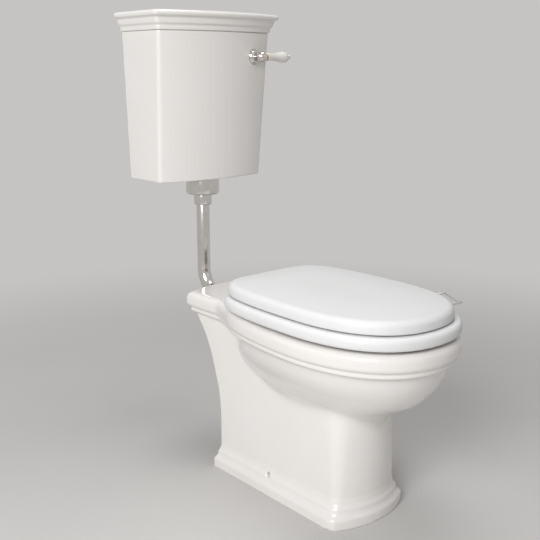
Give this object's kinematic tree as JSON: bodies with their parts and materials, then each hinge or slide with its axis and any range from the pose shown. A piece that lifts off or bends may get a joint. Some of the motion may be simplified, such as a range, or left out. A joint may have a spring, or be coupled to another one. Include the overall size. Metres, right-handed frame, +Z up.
{
  "type": "low level toilet",
  "caption": "Traditional low level toilet: floor pan with hinged ring and lid, wall cistern with side lever, siphon and float inside, joined by a bent chrome flush pipe.",
  "frame": {"origin": "on the floor, on the centre line, at the middle of the pan's foot", "axes": "+Z up, the front faces -Y, the wall is on the +Y side, the flush lever is on the +X side"},
  "size_m": [0.4161, 0.832, 1.044],
  "materials": {
    "china": "gloss glaze",
    "seat_paint": "satin white paint on moulded wood",
    "chrome": "polished",
    "grip_china": "gloss glaze",
    "brass": "satin",
    "black_rubber": "matt",
    "pale_rubber": "matt",
    "white_plastic": "moulded",
    "steel": "drawn wire"
  },
  "bodies": {
    "fixed": {"pan": "china", "cistern": "china", "flush_pipe": "chrome", "flush_cone": "black_rubber", "pipe_coupling": "chrome", "siphon_cup": "chrome", "siphon_nut": "white_plastic", "siphon_washer": "black_rubber", "siphon_body": "white_plastic", "lever_rose": "chrome", "lever_bush": "brass", "lever_nut": "brass", "inlet_valve": "brass", "inlet_washer": "black_rubber", "inlet_nut": "brass", "float_pin": "brass", "hinge_pillars": "chrome", "hinge_pins": "chrome", "hinge_washers": "pale_rubber", "wing_nuts": "white_plastic"},
    "ring": {"seat_ring": "seat_paint", "ring_buffers": "pale_rubber", "lift_handle": "chrome"},
    "lid": {"seat_lid": "seat_paint", "lid_buffers": "pale_rubber"},
    "lever": {"lever_spindle": "chrome", "lever_collar": "brass", "lever_grip": "grip_china", "lever_tip": "chrome", "lever_crank": "brass"},
    "plunger": {"siphon_rod": "steel", "siphon_plate": "white_plastic"},
    "tank_lid": {"cistern_lid": "china"},
    "float_swing_arm": {"float_arm": "brass", "float": "white_plastic"}
  },
  "joints": [
    {"name": "seat_hinge", "type": "hinge", "parent": "fixed", "child": "ring", "pos_m": [0, 0.14, 0.434], "axis": [-1, 0, 0], "range_deg": [0, 97]},
    {"name": "lid_hinge", "type": "hinge", "parent": "ring", "child": "lid", "pos_m": [0, 0.14, 0.434], "axis": [1, 0, 0], "range_deg": [-100, 0]},
    {"name": "flush_lever", "type": "hinge", "parent": "fixed", "child": "lever", "pos_m": [0.104, 0.31566, 0.946], "axis": [-0.2049, 0.9788, 0], "range_deg": [0, 30], "stiffness_Nm_per_rad": 0.15, "springref_deg": -11.46},
    {"name": "plunger_lift", "type": "slide", "parent": "fixed", "child": "plunger", "axis": [0, 0, 1], "range_m": [0, 0.03]},
    {"name": "cistern_lid_lift", "type": "slide", "parent": "fixed", "child": "tank_lid", "axis": [0, 0, 1], "range_m": [0, 0.06]},
    {"name": "float_swing", "type": "hinge", "parent": "fixed", "child": "float_swing_arm", "pos_m": [0.09542, 0.441, 0.942], "axis": [0, 1, 0], "range_deg": [0, 34]}
  ],
  "couplings": [
    {"joint": "plunger_lift", "follows": "flush_lever", "m_per_rad": 0.0563}
  ]
}
